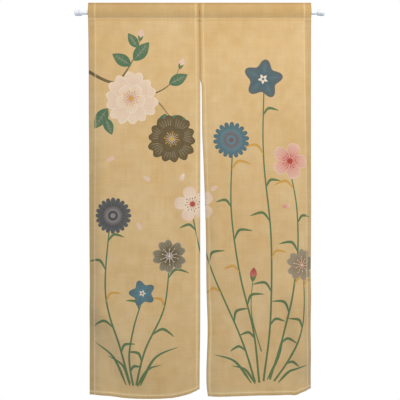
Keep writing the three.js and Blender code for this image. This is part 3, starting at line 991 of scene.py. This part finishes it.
def make_cap(side, material):
    """A soft cap: a cup over the rod's end, with a rounded rim at its face."""
    low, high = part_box("end_cap_left" if side < 0 else "end_cap_right")
    end = (low.x if side < 0 else high.x) / MM
    mouth = (high.x if side < 0 else low.x) / MM
    radius = high.z / MM
    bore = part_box("rod")[1].z / MM + CAP_FIT
    length = abs(end - mouth)
    outline = [(0, 0), (0, radius - CAP_ROUND)]
    for a in np.linspace(0, pi / 2, 9)[1:]:
        outline.append((CAP_ROUND * (1 - cos(a)), radius - CAP_ROUND * (1 - sin(a))))
    for a in np.linspace(0, pi / 2, 6):
        outline.append((length - CAP_LIP * (1 - sin(a)), radius - CAP_TAPER - CAP_LIP * (1 - cos(a))))
    outline += [(length, bore), (length - CAP_BORE_DEPTH, bore), (length - CAP_BORE_DEPTH, 0)]
    profile = [(end - side * x, r) for x, r in outline]
    return lathe(f"cap_{'left' if side < 0 else 'right'}", profile, material)


# Materials. The scales of noise are in grains a metre, and on the cloth they are across, down and by panel.

WEAVE_PITCH = 1.15
SOFT_SCATTER = 7
SOFT_SHEEN = 0.8
SHEEN_ROUGHNESS = 0.6


class Nodes:
    """Adds nodes to a material or a world and links them."""

    def __init__(self, owner):
        self.owner = owner
        owner.use_nodes = True
        self.tree = owner.node_tree

    def add(self, kind, inputs=None, **settings):
        node = self.tree.nodes.new(kind)
        for key, value in settings.items():
            setattr(node, key, value)
        return self.fill(node, inputs or {})

    def fill(self, node, inputs):
        """Puts values or links on a node's own sockets."""
        for key, value in inputs.items():
            if isinstance(value, bpy.types.NodeSocket):
                self.tree.links.new(value, node.inputs[key])
            else:
                node.inputs[key].default_value = value
        return node

    def shade(self, inputs):
        self.fill(self.tree.nodes["Principled BSDF"], inputs)

    def math(self, kind, *values, clamp=False):
        inputs = dict(enumerate(values))
        return self.add("ShaderNodeMath", inputs, operation=kind, use_clamp=clamp).outputs[0]

    def plus(self, a, b):
        return self.math("ADD", a, b)

    def times(self, a, b):
        return self.math("MULTIPLY", a, b)

    def mix(self, factor, a, b, blend="MIX"):
        inputs = {"Factor": factor, 6: a, 7: b}
        return self.add("ShaderNodeMix", inputs, data_type="RGBA", blend_type=blend).outputs[2]

    def noise(self, vector, scale, detail):
        """Noise about 0 on a vector stretched by a scale along each axis."""
        stretched = self.add("ShaderNodeVectorMath", {0: vector, 1: scale}, operation="MULTIPLY").outputs[0]
        made = self.add("ShaderNodeTexNoise", {"Vector": stretched, "Scale": 1.0, "Detail": detail})
        return self.math("SUBTRACT", made.outputs["Fac"], 0.5)

    def bump(self, height, strength, distance):
        """A surface with a height that stands out by up to a distance."""
        inputs = {"Height": height, "Strength": strength, "Distance": distance * MM}
        return self.add("ShaderNodeBump", inputs).outputs[0]


def rgba(colour):
    return (*linear(colour), 1)


def cloth_material():
    """Plain weave with its slubs and the print, with painted shade on doubled cloth, at edges, along the top
    fold and in the seam's groove, and a painted highlight along stitch lines.
    """
    n = Nodes(bpy.data.materials.new("cloth"))
    names = ("cloth_at", "painted_light", "print")
    place, painted_light, ink = (n.add("ShaderNodeAttribute", attribute_name=name).outputs for name in names)
    at = place["Vector"]
    part = n.add("ShaderNodeSeparateColor", {0: painted_light["Color"]}).outputs
    # Slubs: threads that are thicker or paler for a hand's width, along and across
    weft = n.noise(at, (9, 420, 5), 3)
    warp = n.noise(at, (420, 7, 5), 3)
    mottle = n.noise(at, (22, 17, 5), 4)
    broad = n.noise(at, (5, 3, 5), 2)
    tint = n.plus(n.times(mottle, 1.6), n.times(broad, 1.6))
    ground = n.mix(n.math("ADD", tint, 0.5, clamp=True), rgba(CLOTH_DEEP), rgba(CLOTH_PALE))
    streak = n.plus(n.times(weft, 0.2), n.times(warp, 0.2))
    streak = n.plus(streak, n.times(n.noise(at, (30, 24, 7), 3), 0.16))
    # The print sinks into the thread, and its colour is a little uneven
    wash = n.times(n.noise(at, (60, 60, 5), 4), 0.28)
    dyed = n.mix(n.plus(0.5, wash), ink["Color"], n.mix(0.14, ink["Color"], ground))
    colour = n.mix(n.times(ink["Alpha"], 0.985), ground, dyed)
    # Painted shade and highlight: doubled cloth is painted darker for less light through it, stitch lines
    # get a painted highlight, and the edges, top fold and seam's groove get painted shade
    colour = n.mix(part[0], colour, n.mix(1, colour, rgba(DOUBLED_SHADE), "MULTIPLY"))
    for amount, strength, painted_colour in (
        (part[1], 0.55, STITCH_HIGHLIGHT),
        (part[2], 0.4, EDGE_SHADE),
        (painted_light["Alpha"], 0.5, GROOVE_SHADE),
    ):
        colour = n.mix(n.times(amount, strength), colour, rgba(painted_colour))
    bright = n.plus(1, streak)
    colour = n.add("ShaderNodeVectorMath", {0: colour, 1: bright}, operation="MULTIPLY").outputs[0]
    # Plain weave: each thread passes over one neighbour and under the next
    sines = []
    for part in n.add("ShaderNodeSeparateXYZ", {0: at}).outputs[:2]:
        thread_number = n.math("DIVIDE", part, WEAVE_PITCH * MM)
        sines.append(n.math("SINE", n.times(thread_number, pi)))
    over = n.math("GREATER_THAN", n.times(*sines), 0)
    warp_height, weft_height = (n.math("ABSOLUTE", sine) for sine in sines)
    under = n.times(n.math("SUBTRACT", 1, over), weft_height)
    height = n.plus(n.times(over, warp_height), under)
    height = n.plus(height, n.times(n.plus(weft, warp), 2.2))
    n.shade({
        "Base Color": colour,
        "Normal": n.bump(height, 0.35, 0.2),
        "Roughness": n.plus(0.86, n.times(mottle, 0.12)),
        "Specular IOR Level": 0.25,
        "Sheen Weight": 0.12,
        "Sheen Roughness": SHEEN_ROUGHNESS,
    })
    return n.owner


def thread_material():
    """Pale thread with a slanting ply."""
    n = Nodes(bpy.data.materials.new("thread"))
    at = n.add("ShaderNodeTexCoord").outputs["Object"]
    vary = n.plus(0.5, n.noise(at, (90, 90, 90), 2))
    waves = {"Vector": at, "Scale": 900.0, "Distortion": 2.0}
    ply = n.add("ShaderNodeTexWave", waves, bands_direction="DIAGONAL").outputs["Fac"]
    n.shade({
        "Base Color": n.mix(vary, rgba(THREAD_DEEP), rgba(THREAD_PALE)),
        "Normal": n.bump(ply, 0.3, 0.1),
        "Roughness": 0.75,
    })
    return n.owner


def plain_material(name, low, high, roughness, coat, soft=0):
    """A plain finish between two close colours. One that is soft lets light in a little way."""
    n = Nodes(bpy.data.materials.new(name))
    at = n.add("ShaderNodeTexCoord").outputs["Object"]
    vary = n.noise(at, (40, 40, 40), 4)
    n.shade({
        "Base Color": n.mix(n.plus(0.5, vary), rgba(low), rgba(high)),
        "Roughness": n.plus(roughness, n.times(vary, 0.1)),
        "Normal": n.bump(n.noise(at, (600, 600, 600), 2), 0.05, 0.1),
        "Coat Weight": coat,
    })
    if soft:
        n.shade({
            "Subsurface Weight": soft,
            "Subsurface Radius": (1, 1, 1),
            "Subsurface Scale": SOFT_SCATTER * MM,
            "Sheen Weight": SOFT_SHEEN,
            "Sheen Roughness": SHEEN_ROUGHNESS,
        })
    return n.owner


# Light, floor and camera. The photograph is square, and its size is in pixels and its scale in mm a pixel.
PHOTO_SIZE = 400
PHOTO_SCALE = 3.812
PHOTO_CENTRE = (1.5, -714.5)
CAMERA_DISTANCE = 2400
SENSOR_WIDTH = 36
ROOM_COLOUR = (0.8, 0.94, 1.13, 1)
ROOM_STRENGTH = 0.49
LIGHT_AIM = (0, 0, -0.7)
FLOOR_DROP = 1950
FLOOR_RADIUS = 1350


def make_light():
    """A bright room seen as plain white, a key light in front to the right and one for the back."""
    scene = bpy.context.scene
    scene.view_settings.view_transform = "Standard"
    scene.world = bpy.data.worlds.new("studio")
    n = Nodes(scene.world)
    room = n.fill(n.tree.nodes["Background"], {"Color": ROOM_COLOUR, "Strength": ROOM_STRENGTH}).outputs[0]
    white = n.add("ShaderNodeBackground", {"Color": (1, 1, 1, 1)}).outputs[0]
    seen = n.add("ShaderNodeLightPath").outputs["Is Camera Ray"]
    mixed = n.add("ShaderNodeMixShader", {0: seen, 1: room, 2: white}).outputs[0]
    n.fill(n.tree.nodes["World Output"], {0: mixed})
    for name, place, size, power, colour in (
        ("key", (0.9, -2.8, 1.6), 1.2, 94, (1.0, 0.93, 0.8)),
        ("back", (-0.4, 3.0, 1.5), 1.4, 55, (1.0, 0.98, 0.95)),
    ):
        data = bpy.data.lights.new(name, "AREA")
        data.size, data.energy, data.color = size, power, colour
        light = add_object(name, data)
        light.location = place
        light.rotation_euler = (Vector(LIGHT_AIM) - Vector(place)).to_track_quat("-Z", "Y").to_euler()


def make_floor():
    """A plain pale floor, as far down as it is in a doorway. It sends no light back to the cloth."""
    bpy.ops.mesh.primitive_circle_add(
        vertices=96, radius=FLOOR_RADIUS * MM, fill_type="NGON", location=(0, 0, -FLOOR_DROP * MM),
    )
    floor = bpy.context.object
    floor.name = "floor"
    floor.visible_diffuse = False
    floor.data.materials.append(plain_material("floor", (232, 230, 226), (238, 236, 232), 0.7, 0))


def make_camera():
    """A level camera straight in front, with the photograph's frame."""
    data = bpy.data.cameras.new("camera")
    data.sensor_width = SENSOR_WIDTH
    data.lens = SENSOR_WIDTH * CAMERA_DISTANCE / (PHOTO_SIZE * PHOTO_SCALE)
    camera = add_object("camera", data)
    camera.location = (PHOTO_CENTRE[0] * MM, -CAMERA_DISTANCE * MM, PHOTO_CENTRE[1] * MM)
    camera.rotation_euler = (radians(90), 0, 0)
    bpy.context.scene.camera = camera


# The whole curtain

compose_print()
thread = thread_material()
cloth = cloth_material()
for panel in PANELS:
    piece = make_cloth(panel, cloth)
    stitching = make_stitching(panel, thread)
    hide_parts(f"panel_{panel.name}")
    for obj in (piece, stitching):
        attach(obj, "root")
seam = make_seam(thread)
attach(seam, "root")

rod = make_rod(plain_material("enamel", (246, 249, 252), (249, 252, 254), 0.32, 0.3, soft=0.8))
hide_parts("rod")
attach(rod, "root")
cap_finish = plain_material("cap", (248, 248, 246), (252, 252, 250), 0.5, 0.05, soft=1)
for side, node in ((-1, "end_cap_left"), (1, "end_cap_right")):
    cap = make_cap(side, cap_finish)
    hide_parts(node)
    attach(cap, "root")

make_light()
make_floor()
make_camera()
